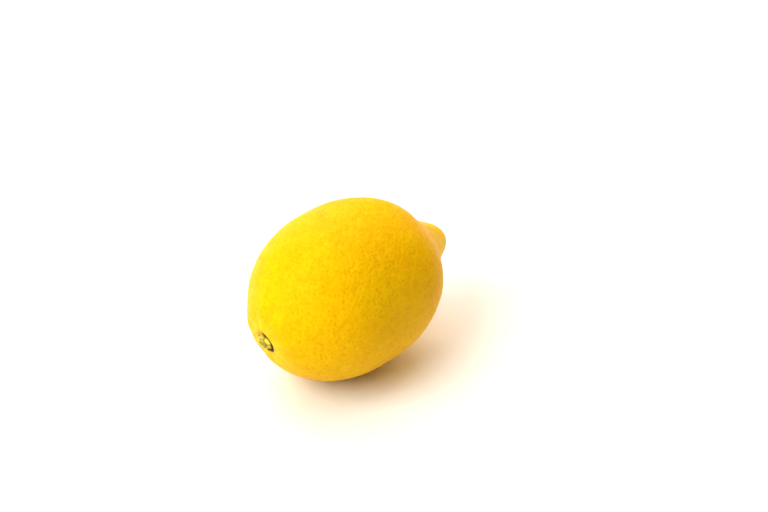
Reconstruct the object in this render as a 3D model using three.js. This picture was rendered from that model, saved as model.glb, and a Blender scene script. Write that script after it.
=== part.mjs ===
// A ripe lemon lying on its side, with the dry calyx and the stub of its stalk still seated in it.
// Millimetres, +Z up. +X runs along the fruit to its nipple, and -X to its stalk end. The origin is the
// middle of the small flat that the fruit rests on.
import * as THREE from "three";

// The body's oval. Each half length runs from the widest section to where that end alone would close.
const BODY_RADIUS = 32.5;
const STALK_HALF = 43.3;
const BLOSSOM_HALF = 39.9;
const STALK_FULLNESS = 2.48; // exponent along the axis: 2 is an ellipse, more is fuller to its end
const BLOSSOM_FULLNESS = 2.6;
const END_TAPER = 0.68; // 0.5 rounds the ends as an ellipse does, more draws them to a point
const SIDE_BOW = -0.52; // how far the core bends aside, and down, one body radius from the middle
const DOWN_BOW = -0.65;

// The nipple at the blossom end, an oval knob that grows out of the body and leans a little.
const NIPPLE_RADIUS = 10.1;
const NIPPLE_HALF = 20;
const NIPPLE_REACH = 13.5; // past where the body alone would close
const NIPPLE_MIDDLE = new THREE.Vector3(0, 1.9, 3.1); // from the core to the knob's middle
const NIPPLE_LEAN = new THREE.Vector3(0, -2.2, -2.5); // from the knob's middle to its tip
const CREASE_BLEND = 2.8; // at the nipple's foot, where the crease is sharpest
const NECK_BLEND = 14.8; // and where it fades out into a shoulder
const NECK_FADE_WAY = new THREE.Vector3(0, -0.8, -0.6);
const SCAR_RADIUS = 1.1; // the pit where the style broke off
const SCAR_DEPTH = 0.4;

// The stalk end: a raised collar round a hollow, with its face cut back a little and leaning down.
const COLLAR_RADIUS = 12;
const COLLAR_WIDTH = 4.5;
const COLLAR_HEIGHT = 0.8;
const HOLLOW_RADIUS = 5.5;
const HOLLOW_DEPTH = 0.7;
const CROWN_CUT = 1.2; // from where the body alone would close in to the plane of the face
const CROWN_BLEND = 4.6;
const CROWN_DROP_DEG = 16.1;
const CROWN_TURN_DEG = 5.4;
const SEAT_DROP_DEG = 6.4; // where the seat lies on the face, as seen from the middle of the fruit
const SEAT_TURN_DEG = 2.1;

// The calyx and stalk stub, and the seat that takes them.
const CALYX_RADIUS = 3.9;
const CALYX_THICKNESS = 1;
const CALYX_EDGE = 0.5; // thickness at the rim of the sepals
const SEPALS = 5;
const NOTCH_DEPTH = 0.5; // how far the rim draws in between two sepals
const STUB_RADIUS = 1.7;
const STUB_HEIGHT = 1.2;
const STUB_ROUND = 0.3;
const SEAT_DEPTH = 0.8;
const SEAT_CLEARANCE = 0.3;
const SEAT_WALL = 0.7; // run of the sloping wall from the seat's floor to the skin

// Gentle swellings: the way each one faces from the middle of the fruit, its height and its spread.
const SWELLINGS = [
  { towards: new THREE.Vector3(0.8, 0, 0.6), height: 1.3, spread: 0.35 },
  { towards: new THREE.Vector3(0.62, -0.72, 0.31), height: 1.4, spread: 0.4 },
  { towards: new THREE.Vector3(-0.81, -0.3, -0.51), height: 0.4, spread: 0.35 },
];

// How it lies.
const LEAN_DEG = 1.2; // the nipple is this much higher than level
const REST_DEPTH = 0.45; // how far the belly is pressed flat

// Fineness of the mesh.
const SEGMENTS = 68;
const SEAT_RINGS = 3;
const POLE_STEP = 0.6;
const BELLY_STEP = 2.7;
const STEP_GROWTH = 1.16;
const WALK_TURN = 0.001;
const BISECTIONS = 40;
const FAR_OUTSIDE = 200;
const BUTTON_SEGMENTS = 40;
const ARC_STEPS = 2; // half the pieces in each rounded corner of the button's outline

const clamp = THREE.MathUtils.clamp;
const radians = THREE.MathUtils.degToRad;

// Fields are below zero inside and above it outside, in about a millimetre for a millimetre.
function smoothUnion(a, b, blend) {
  const mix = clamp(0.5 + (b - a) / (2 * blend), 0, 1);
  return THREE.MathUtils.lerp(b, a, mix) - blend * mix * (1 - mix);
}

function smoothCut(a, b, blend) {
  return -smoothUnion(-a, -b, blend);
}

function bell(distance, spread) {
  return Math.exp(-((distance / spread) ** 2));
}

// A direction near -X, turned aside about Z and dropped towards -Z.
function towardsStalk(dropDeg, turnDeg) {
  const drop = radians(dropDeg);
  const turn = radians(turnDeg);
  return new THREE.Vector3(
    -Math.cos(drop) * Math.cos(turn),
    Math.cos(drop) * Math.sin(turn),
    -Math.sin(drop),
  );
}

// The core's own bend, which moves each section of the fruit aside and down.
function coreOffset(x) {
  const share = (x / BODY_RADIUS) ** 2;
  return new THREE.Vector3(0, SIDE_BOW * share, DOWN_BOW * share);
}

function bodyField(p) {
  const half = p.x < 0 ? STALK_HALF : BLOSSOM_HALF;
  const fullness = p.x < 0 ? STALK_FULLNESS : BLOSSOM_FULLNESS;
  const along = (Math.abs(p.x) / half) ** fullness;
  const around = (Math.hypot(p.y, p.z) / BODY_RADIUS) ** (1 / END_TAPER);
  return (Math.sqrt(along + around) - 1) * BODY_RADIUS;
}

// A place by the nipple: along its length, with -1 its root and 1 its tip, and out from its line.
const nippleTip = BLOSSOM_HALF + NIPPLE_REACH;

function fromNipple(p) {
  const along = (p.x - nippleTip) / NIPPLE_HALF + 1;
  const line = NIPPLE_MIDDLE.clone().addScaledVector(NIPPLE_LEAN, along);
  return { along, aside: Math.hypot(p.y - line.y, p.z - line.z) };
}

function nippleField(p) {
  const { along, aside } = fromNipple(p);
  return (Math.hypot(along, aside / NIPPLE_RADIUS) - 1) * NIPPLE_RADIUS;
}

function neckBlend(p) {
  const radius = Math.hypot(p.y, p.z);
  const towards = radius > 0 ? (p.y * NECK_FADE_WAY.y + p.z * NECK_FADE_WAY.z) / radius : 0;
  const creaseShare = ((1 - towards) / 2) ** 2;
  return THREE.MathUtils.lerp(NECK_BLEND, CREASE_BLEND, creaseShare);
}

function scarDent(p) {
  return p.x > BLOSSOM_HALF ? SCAR_DEPTH * bell(fromNipple(p).aside, SCAR_RADIUS) : 0;
}

// The crown is the stalk end's face, and its middle is where the seat goes.
const crownNormal = towardsStalk(CROWN_DROP_DEG, CROWN_TURN_DEG);
const seatWay = towardsStalk(SEAT_DROP_DEG, SEAT_TURN_DEG);
const crownReach = STALK_HALF - CROWN_CUT;
const crownMiddle = seatWay.clone().multiplyScalar(crownReach / seatWay.dot(crownNormal));

// A place by the crown: above its plane, and out from its middle.
function fromCrown(p) {
  const offset = p.clone().sub(crownMiddle);
  const above = offset.dot(crownNormal);
  return { above, aside: offset.addScaledVector(crownNormal, -above).length() };
}

// The hollow and the collar round it, in the stalk half only.
function stalkEndDent(p) {
  if (p.x > 0) return 0;
  const { aside } = fromCrown(p);
  const hollow = HOLLOW_DEPTH * bell(aside, HOLLOW_RADIUS);
  const collar = COLLAR_HEIGHT * bell(aside - COLLAR_RADIUS, COLLAR_WIDTH);
  return hollow - collar;
}

function swellingHeight(p) {
  const way = p.clone().normalize();
  const height = (s) => s.height * bell(way.distanceTo(s.towards), s.spread);
  return SWELLINGS.reduce((sum, s) => sum + height(s), 0);
}

// The grown fruit before its crown is cut back: body, nipple, scar, collar and swellings.
function grownField(p) {
  const straight = p.clone().sub(coreOffset(p.x));
  const blend = neckBlend(straight);
  const joined = smoothUnion(bodyField(straight), nippleField(straight), blend);
  return joined + scarDent(straight) + stalkEndDent(p) - swellingHeight(p);
}

function crownedField(p) {
  return smoothCut(grownField(p), fromCrown(p).above, CROWN_BLEND);
}

// The point where a ray that starts inside leaves the solid of a field.
function rayExit(field, start, direction) {
  let inside = 0;
  let outside = FAR_OUTSIDE;
  const point = new THREE.Vector3();
  for (let i = 0; i < BISECTIONS; i++) {
    const middle = (inside + outside) / 2;
    point.copy(start).addScaledVector(direction, middle);
    if (field(point) < 0) inside = middle;
    else outside = middle;
  }
  return point.clone();
}

// The seat's floor lies SEAT_DEPTH under where the skin would be in the middle of the crown.
const underCrown = crownMiddle.clone().addScaledVector(crownNormal, -BODY_RADIUS / 2);
const skinMiddle = rayExit(crownedField, underCrown, crownNormal);
const seatMiddle = skinMiddle.clone().addScaledVector(crownNormal, -SEAT_DEPTH);
const seatFloor = fromCrown(seatMiddle).above;
const seatFloorRadius = CALYX_RADIUS + SEAT_CLEARANCE;
const seatRimRadius = seatFloorRadius + SEAT_WALL;

function fruitField(p) {
  const { above, aside } = fromCrown(p);
  const skinShare = THREE.MathUtils.smoothstep(aside, seatFloorRadius, seatRimRadius);
  if (p.x > 0 || skinShare === 1) return crownedField(p);
  return THREE.MathUtils.lerp(above - seatFloor, crownedField(p), skinShare);
}

// The mesh's poles are the middle of the seat and the nipple's tip, and its rays start between them.
const tipPoint = coreOffset(nippleTip).add(NIPPLE_MIDDLE).add(NIPPLE_LEAN);
tipPoint.x += nippleTip;
const poleAxis = tipPoint.clone().sub(seatMiddle).normalize();
const hub = seatMiddle.clone().addScaledVector(poleAxis, -seatMiddle.dot(poleAxis));
const seatSquareness = -poleAxis.dot(crownNormal);
const acrossAxis = new THREE.Vector3(0, 0, 1).cross(poleAxis).normalize();
const upAxis = poleAxis.clone().cross(acrossAxis);

// A point of the skin: angle is from the stalk pole, around is about the axis.
function skinPoint(angle, around) {
  const direction = poleAxis
    .clone()
    .multiplyScalar(-Math.cos(angle))
    .addScaledVector(acrossAxis, Math.sin(angle) * Math.cos(around))
    .addScaledVector(upAxis, Math.sin(angle) * Math.sin(around));
  return rayExit(fruitField, hub, direction);
}

// Ring angles from one pole to the widest part, in steps that grow from fine to the belly's.
function ringWalk(start, turn) {
  const angles = [];
  let here = skinPoint(start, 0);
  let step = POLE_STEP;
  for (let angle = start; Math.abs(angle - start) < Math.PI / 2; angle += turn) {
    const next = skinPoint(angle, 0);
    if (next.distanceTo(here) < step) continue;
    if (Math.sign(angle - Math.PI / 2) === Math.sign(turn)) break;
    angles.push(angle);
    here = next;
    step = Math.min(step * STEP_GROWTH, BELLY_STEP);
  }
  return angles;
}

function ringAngles() {
  const seatDistance = seatMiddle.distanceTo(hub);
  const ringAt = (radius, depth) => Math.atan2(radius * seatSquareness, seatDistance + depth);
  const angles = [];
  for (let i = 1; i <= SEAT_RINGS; i++) {
    angles.push(ringAt((seatFloorRadius * i) / SEAT_RINGS, 0));
  }
  const rim = ringAt(seatRimRadius, SEAT_DEPTH);
  const fromStalk = ringWalk(rim, WALK_TURN);
  const fromTip = ringWalk(Math.PI, -WALK_TURN);
  return [...angles, rim, ...fromStalk, ...fromTip.reverse()];
}

// Rings of points between two poles, closed with triangles that face outwards.
function fruitGeometry() {
  const points = [skinPoint(0, 0)];
  const rings = ringAngles();
  for (const angle of rings) {
    for (let s = 0; s < SEGMENTS; s++) {
      points.push(skinPoint(angle, (2 * Math.PI * s) / SEGMENTS));
    }
  }
  points.push(skinPoint(Math.PI, 0));
  const at = (ring, s) => 1 + ring * SEGMENTS + (s % SEGMENTS);
  const last = rings.length - 1;
  const faces = [];
  for (let s = 0; s < SEGMENTS; s++) {
    faces.push(0, at(0, s + 1), at(0, s));
    for (let ring = 0; ring < last; ring++) {
      faces.push(at(ring, s), at(ring, s + 1), at(ring + 1, s));
      faces.push(at(ring + 1, s), at(ring, s + 1), at(ring + 1, s + 1));
    }
    faces.push(points.length - 1, at(last, s), at(last, s + 1));
  }
  return new THREE.BufferGeometry().setFromPoints(points).setIndex(faces);
}

// The calyx and stub as one turned piece, +Y along the stalk, its rim drawn in between the sepals.
function buttonGeometry() {
  const stubFoot = STUB_RADIUS + STUB_ROUND;
  const top = CALYX_THICKNESS + STUB_HEIGHT;
  const outline = new THREE.Path()
    .moveTo(0, 0)
    .lineTo(CALYX_RADIUS - CALYX_EDGE / 2, 0)
    .absarc(CALYX_RADIUS - CALYX_EDGE / 2, CALYX_EDGE / 2, CALYX_EDGE / 2, -Math.PI / 2, Math.PI / 2)
    .lineTo(stubFoot, CALYX_THICKNESS)
    .absarc(stubFoot, CALYX_THICKNESS + STUB_ROUND, STUB_ROUND, -Math.PI / 2, -Math.PI, true)
    .lineTo(STUB_RADIUS, top - STUB_ROUND)
    .absarc(STUB_RADIUS - STUB_ROUND, top - STUB_ROUND, STUB_ROUND, 0, Math.PI / 2)
    .lineTo(0, top);
  const geometry = new THREE.LatheGeometry(outline.getPoints(ARC_STEPS), BUTTON_SEGMENTS);
  const position = geometry.getAttribute("position");
  for (let i = 0; i < position.count; i++) {
    const x = position.getX(i);
    const z = position.getZ(i);
    const radius = Math.hypot(x, z);
    const rimShare = clamp((radius - stubFoot) / (CALYX_RADIUS - stubFoot), 0, 1);
    const between = (1 - Math.cos(SEPALS * Math.atan2(z, x))) / 2;
    const drawnIn = 1 - (NOTCH_DEPTH * rimShare * between) / CALYX_RADIUS;
    position.setXYZ(i, x * drawnIn, position.getY(i), z * drawnIn);
  }
  return geometry;
}

// Turns the fruit's own frame to how it lies, and sets its lowest part REST_DEPTH below the surface.
function restingFrame(geometry) {
  const lean = new THREE.Matrix4().makeRotationY(-radians(LEAN_DEG));
  const lowest = geometry.clone().applyMatrix4(lean);
  lowest.computeBoundingBox();
  const drop = -REST_DEPTH - lowest.boundingBox.min.z;
  return new THREE.Matrix4().makeTranslation(0, 0, drop).multiply(lean);
}

// Presses what is below the surface flat, and returns the middle of the flat.
function pressFlat(geometry) {
  const position = geometry.getAttribute("position");
  const flat = new THREE.Box3();
  for (let i = 0; i < position.count; i++) {
    if (position.getZ(i) > 0) continue;
    position.setZ(i, 0);
    flat.expandByPoint(new THREE.Vector3().fromBufferAttribute(position, i));
  }
  return flat.getCenter(new THREE.Vector3());
}

function makeFruit(geometry) {
  const peel = new THREE.MeshStandardMaterial({ color: 0xf6c908, roughness: 0.42, metalness: 0 });
  const mesh = new THREE.Mesh(geometry, peel);
  mesh.name = "fruit";
  return mesh;
}

function makeButton() {
  const woody = new THREE.MeshStandardMaterial({ color: 0x7c7a2c, roughness: 0.8, metalness: 0 });
  const mesh = new THREE.Mesh(buttonGeometry(), woody);
  mesh.name = "calyx_button";
  mesh.position.copy(seatMiddle).addScaledVector(crownNormal, SEAT_CLEARANCE);
  mesh.quaternion.setFromUnitVectors(new THREE.Vector3(0, 1, 0), crownNormal);
  return mesh;
}

const skin = fruitGeometry();
const resting = restingFrame(skin);
skin.applyMatrix4(resting);
const flatMiddle = pressFlat(skin);
skin.computeVertexNormals();

const button = makeButton();
button.applyMatrix4(resting);

const lemon = new THREE.Group();
lemon.name = "lemon";
lemon.add(makeFruit(skin), button);
for (const piece of lemon.children) piece.position.sub(flatMiddle);

export default lemon;
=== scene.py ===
"""A ripe lemon with its dry calyx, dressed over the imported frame. Metres, Z up, nipple towards +X."""

import logging
import math
from dataclasses import dataclass, field
from enum import Enum
from typing import Any

import bmesh
import bpy
import numpy as np
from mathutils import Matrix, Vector


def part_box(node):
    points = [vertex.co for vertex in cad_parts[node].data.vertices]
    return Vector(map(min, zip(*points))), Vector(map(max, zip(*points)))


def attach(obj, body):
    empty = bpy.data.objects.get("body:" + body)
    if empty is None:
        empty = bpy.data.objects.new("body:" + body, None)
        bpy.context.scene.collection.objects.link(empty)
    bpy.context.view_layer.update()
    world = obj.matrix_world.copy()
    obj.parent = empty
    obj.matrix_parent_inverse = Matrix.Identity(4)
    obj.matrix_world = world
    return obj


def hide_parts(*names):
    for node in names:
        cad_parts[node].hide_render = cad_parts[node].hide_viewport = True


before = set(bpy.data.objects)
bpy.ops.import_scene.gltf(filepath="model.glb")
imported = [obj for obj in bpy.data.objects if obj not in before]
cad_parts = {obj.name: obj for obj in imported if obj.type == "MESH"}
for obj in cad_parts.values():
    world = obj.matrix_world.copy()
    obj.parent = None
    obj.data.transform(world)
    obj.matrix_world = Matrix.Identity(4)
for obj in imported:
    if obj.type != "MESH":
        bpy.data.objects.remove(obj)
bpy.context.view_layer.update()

LOG = logging.getLogger("lemon")
MM = 0.001
UP = Vector((0.0, 0.0, 1.0))

Colour = tuple[float, float, float]
Way = tuple[float, float, float]
Link = Any  # a node socket to join, or the plain value that a socket takes
Band = tuple[Link, Link]  # where a change starts and where it ends

DEEP_YELLOW: Colour = (0.74, 0.37, 0.001)
PALE_YELLOW: Colour = (0.88, 0.6, 0.003)


class Node(Enum):
    """The CAD nodes, by the names that they have in the frame."""

    FRUIT = "fruit"
    CALYX = "calyx_button"


class Slot(Enum):
    """The record's material slots."""

    PEEL = "peel"
    CALYX = "calyx"


class Mark(Enum):
    """Attributes that the meshes carry for their finishes."""

    GLAND = "gland"
    FURROW = "furrow"
    RIM = "rim"
    CUT = "cut"
    # Painted shade in the grooves and at the stub's foot, with the pith's own dark colour.
    GROOVE_SHADE_AND_PITH = "groove"


# Node trees


@dataclass
class TreeBuilder:
    """Places nodes in one node tree and joins them."""

    tree: bpy.types.NodeTree

    def node(
        self, kind: str, inputs: dict[str | int, Link] | None = None, **settings: Any
    ) -> bpy.types.Node:
        """Adds a node.

        Args:
            kind: The node's type name.
            inputs: What each input takes, by the socket's identifier, name or number.
            settings: The node's own options.

        Returns:
            The new node.
        """
        node = self.tree.nodes.new(kind)
        for name, value in settings.items():
            setattr(node, name, value)
        for key, value in (inputs or {}).items():
            self.feed(self.input(node, key), value)
        return node

    def input(self, node: bpy.types.Node, key: str | int) -> bpy.types.NodeSocket:
        """Returns a node's enabled input by identifier, name or number."""
        return self._socket(node.inputs, key)

    def output(self, node: bpy.types.Node, key: str | int = 0) -> bpy.types.NodeSocket:
        """Returns a node's enabled output by identifier, name or number."""
        return self._socket(node.outputs, key)

    @staticmethod
    def _socket(sockets: Any, key: str | int) -> bpy.types.NodeSocket:
        """Finds a socket among those that are enabled.

        Args:
            sockets: A node's inputs or its outputs.
            key: The socket's identifier, name or number.

        Returns:
            The first one that answers to the key.

        Raises:
            KeyError: None does.
        """
        enabled = [socket for socket in sockets if socket.enabled]
        if isinstance(key, int):
            return enabled[key]
        for socket in enabled:
            if key in (socket.identifier, socket.name):
                return socket
        raise KeyError(f"no socket {key}")

    def feed(self, socket: bpy.types.NodeSocket, value: Link) -> None:
        """Joins a socket to another one, or sets its value.

        Args:
            socket: The input.
            value: The output that it is joined to, or the value that it takes.
        """
        if isinstance(value, bpy.types.NodeSocket):
            self.tree.links.new(value, socket)
        elif isinstance(value, Vector | tuple) and socket.type == "RGBA":
            socket.default_value = (*value[:3], 1.0)
        else:
            socket.default_value = value

    def math(self, operation: str, *values: Link) -> bpy.types.NodeSocket:
        """Returns the result of one sum on numbers."""
        return self.output(self.node("ShaderNodeMath", dict(enumerate(values)), operation=operation))

    def vector(self, operation: str, *values: Link) -> bpy.types.NodeSocket:
        """Returns the result of one sum on vectors, a number for DOT_PRODUCT and DISTANCE."""
        return self.output(self.node("ShaderNodeVectorMath", dict(enumerate(values)), operation=operation))

    def scale(self, vector: Link, factor: Link) -> bpy.types.NodeSocket:
        """Returns a vector times a number."""
        inputs = {"Vector": vector, "Scale": factor}
        return self.output(self.node("ShaderNodeVectorMath", inputs, operation="SCALE"))

    def around_zero(self, share: Link, spread: Link) -> bpy.types.NodeSocket:
        """Returns a share from 0 to 1 as a number from minus to plus half a spread."""
        return self.math("MULTIPLY", self.math("SUBTRACT", share, 0.5), spread)

    def rise(self, value: Link, band: Band, low: Link = 0.0, high: Link = 1.0) -> bpy.types.NodeSocket:
        """Returns a smooth step.

        Args:
            value: The number that is tested.
            band: Where the step begins and ends.
            low: The result before the step.
            high: The result after it.

        Returns:
            The stepped number.
        """
        limits = {"Value": value, "From Min": band[0], "From Max": band[1], "To Min": low, "To Max": high}
        return self.output(self.node("ShaderNodeMapRange", limits, interpolation_type="SMOOTHSTEP"))

    def fade(self, value: Link, band: Band, amount: Link = 1.0) -> bpy.types.NodeSocket:
        """Returns an amount that falls smoothly to nothing across a band."""
        return self.rise(value, band, amount, 0.0)

    def noise(
        self, place: Link, scale: Link, detail: float = 2.0, roughness: float = 0.5
    ) -> bpy.types.NodeSocket:
        """Returns soft noise from 0 to 1 at a place."""
        inputs = {"Vector": place, "Scale": scale, "Detail": detail, "Roughness": roughness}
        return self.output(self.node("ShaderNodeTexNoise", inputs))

    def paint(self, under: Link, over: Link, mask: Link) -> bpy.types.NodeSocket:
        """Returns one colour laid over another where a mask is 1."""
        inputs = {"Factor_Float": mask, "A_Color": under, "B_Color": over}
        return self.output(self.node("ShaderNodeMix", inputs, data_type="RGBA"), "Result_Color")


@dataclass
class GroupBuilder(TreeBuilder):
    """A tree with its own inputs and outputs."""

    entry: bpy.types.Node = field(init=False)
    exit: bpy.types.Node = field(init=False)

    def __post_init__(self) -> None:
        """Adds the nodes that stand for the group's two ends."""
        self.entry = self.tree.nodes.new("NodeGroupInput")
        self.exit = self.tree.nodes.new("NodeGroupOutput")

    def takes(self, name: str, kind: str, default: Any = None) -> bpy.types.NodeSocket:
        """Adds an input to the group.

        Args:
            name: What the input is called.
            kind: What it holds, such as "Float".
            default: Its value where none is given.

        Returns:
            The socket to use inside the group.
        """
        made = self.tree.interface.new_socket(name=name, in_out="INPUT", socket_type=f"NodeSocket{kind}")
        if default is not None:
            made.default_value = default
        return self.output(self.entry, made.identifier)

    def gives(self, name: str, kind: str, value: bpy.types.NodeSocket) -> None:
        """Adds an output to the group and feeds it."""
        made = self.tree.interface.new_socket(name=name, in_out="OUTPUT", socket_type=f"NodeSocket{kind}")
        self.feed(self.input(self.exit, made.identifier), value)


# Effects that more than one finish uses


def new_group(name: str) -> GroupBuilder:
    """Returns a builder for a new shader node group."""
    return GroupBuilder(bpy.data.node_groups.new(name, "ShaderNodeTree"))


def mottle_group() -> bpy.types.NodeTree:
    """Builds uneven ripeness: broad clouds with finer ones in them.

    Returns:
        A group that takes a place and scales, and gives a mask from 0 to 1.
    """
    group = new_group("mottle")
    place = group.takes("Place", "Vector")
    broad = group.takes("Broad Scale", "Float", 60.0)
    fine = group.takes("Fine Scale", "Float", 500.0)
    share = group.takes("Fine Share", "Float", 0.5)
    contrast = group.takes("Contrast", "Float", 0.25)
    broad_part = group.math("MULTIPLY", group.noise(place, broad), group.math("SUBTRACT", 1.0, share))
    fine_part = group.math("MULTIPLY", group.noise(place, fine, detail=3.0, roughness=0.6), share)
    start = group.math("SUBTRACT", 0.5, contrast)
    end = group.math("ADD", 0.5, contrast)
    group.gives("Mask", "Float", group.rise(group.math("ADD", broad_part, fine_part), (start, end)))
    return group.tree


def fleck_group() -> bpy.types.NodeTree:
    """Builds small round flecks in random places, each of its own size.

    Returns:
        A group that takes a place, how far apart and how large the flecks are and what share of places has
        one, and gives a mask from 0 to 1.
    """
    smallest = 0.6
    solid_part = 0.3
    group = new_group("flecks")
    place = group.takes("Place", "Vector")
    scale = group.takes("Scale", "Float", 300.0)
    size = group.takes("Size", "Float", 0.2)
    share = group.takes("Share", "Float", 0.3)
    cells = group.node("ShaderNodeTexVoronoi", {"Vector": place, "Scale": scale}, feature="F1")
    parts = group.node("ShaderNodeSeparateColor", {"Color": group.output(cells, "Color")})
    chance = group.output(parts, "Red")
    has_one = group.math("LESS_THAN", chance, share)
    grown = group.math("MULTIPLY", size, group.math("ADD", smallest, group.math("DIVIDE", chance, share)))
    core = group.math("MULTIPLY", grown, solid_part)
    spot = group.fade(group.output(cells, "Distance"), (core, grown))
    group.gives("Mask", "Float", group.math("MULTIPLY", spot, has_one))
    return group.tree


# Finishes


@dataclass(frozen=True)
class Effects:
    """The shared shader node groups."""

    mottle: bpy.types.NodeTree
    flecks: bpy.types.NodeTree


@dataclass(frozen=True)
class Seat:
    """Where the calyx sits on the fruit: the middle of its underside, and the way it faces."""

    middle: Vector
    axis: Vector


@dataclass(frozen=True)
class Stain:
    """A colour round a point: it covers by a share as far as one distance, and nothing past another."""

    colour: Colour
    cover: float
    inside: float
    beyond: float


class MaterialBuilder(TreeBuilder):
    """A material's node tree, with its Principled shader ready to be fed."""

    def __init__(self, name: str) -> None:
        """Makes an empty material.

        Args:
            name: What it is called.
        """
        self.material = bpy.data.materials.new(name)
        self.material.use_nodes = True
        super().__init__(self.material.node_tree)
        self.tree.nodes.clear()
        self.shader = self.node("ShaderNodeBsdfPrincipled")
        end = self.node("ShaderNodeOutputMaterial")
        self.tree.links.new(self.output(self.shader), self.input(end, "Surface"))
        self.place = self.output(self.node("ShaderNodeTexCoord"), "Object")

    def mark(self, mark: Mark) -> bpy.types.NodeSocket:
        """Returns the number that the mesh carries under a mark."""
        return self.output(self.node("ShaderNodeAttribute", attribute_name=mark.value), "Fac")

    def effect(self, tree: bpy.types.NodeTree, **values: Link) -> bpy.types.NodeSocket:
        """Places a shared group on the piece's own coordinates.

        Args:
            tree: The group.
            values: Its inputs, with _ for each space in their names.

        Returns:
            The group's mask.
        """
        node = self.node("ShaderNodeGroup", node_tree=tree)
        self.feed(self.input(node, "Place"), self.place)
        for name, value in values.items():
            self.feed(self.input(node, name.replace("_", " ")), value)
        return self.output(node, "Mask")

    def far_from(self, point: Vector) -> bpy.types.NodeSocket:
        """Returns the distance from a point, in metres."""
        return self.vector("DISTANCE", self.place, tuple(point))

    def aside(self, point: Vector, way: Way) -> bpy.types.NodeSocket:
        """Returns how far a place lies from a point along a way, in metres."""
        return self.vector("DOT_PRODUCT", self.vector("SUBTRACT", self.place, tuple(point)), way)

    def spread(self, stain: Stain, distance: Link) -> bpy.types.NodeSocket:
        """Returns how much a stain covers at a distance from its middle."""
        return self.fade(distance, (stain.inside, stain.beyond), stain.cover)

    def stain(self, under: Link, stain: Stain, distance: Link) -> bpy.types.NodeSocket:
        """Returns a colour with a stain over it, by the distance from the stain's middle."""
        return self.paint(under, stain.colour, self.spread(stain, distance))

    def cover(self, under: Link, over: Link, mask: Link, share: float) -> bpy.types.NodeSocket:
        """Returns one colour laid over another by a share of a mask."""
        return self.paint(under, over, self.math("MULTIPLY", mask, share))

    def set(self, **values: Link) -> None:
        """Feeds the shader's sockets, with _ for each space in their names."""
        for name, value in values.items():
            self.feed(self.input(self.shader, name.replace("_", " ")), value)

    def relief(self, *layers: tuple[Link, float]) -> None:
        """Adds fine relief to the shader.

        Args:
            layers: A height from 0 to 1 and how many metres that is, for each layer.
        """
        normal: Link = None
        for height, metres in layers:
            bump = self.node("ShaderNodeBump", {"Height": height, "Distance": metres, "Strength": 1.0})
            if normal is not None:
                self.feed(self.input(bump, "Normal"), normal)
            normal = self.output(bump, "Normal")
        self.feed(self.input(self.shader, "Normal"), normal)


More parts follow.
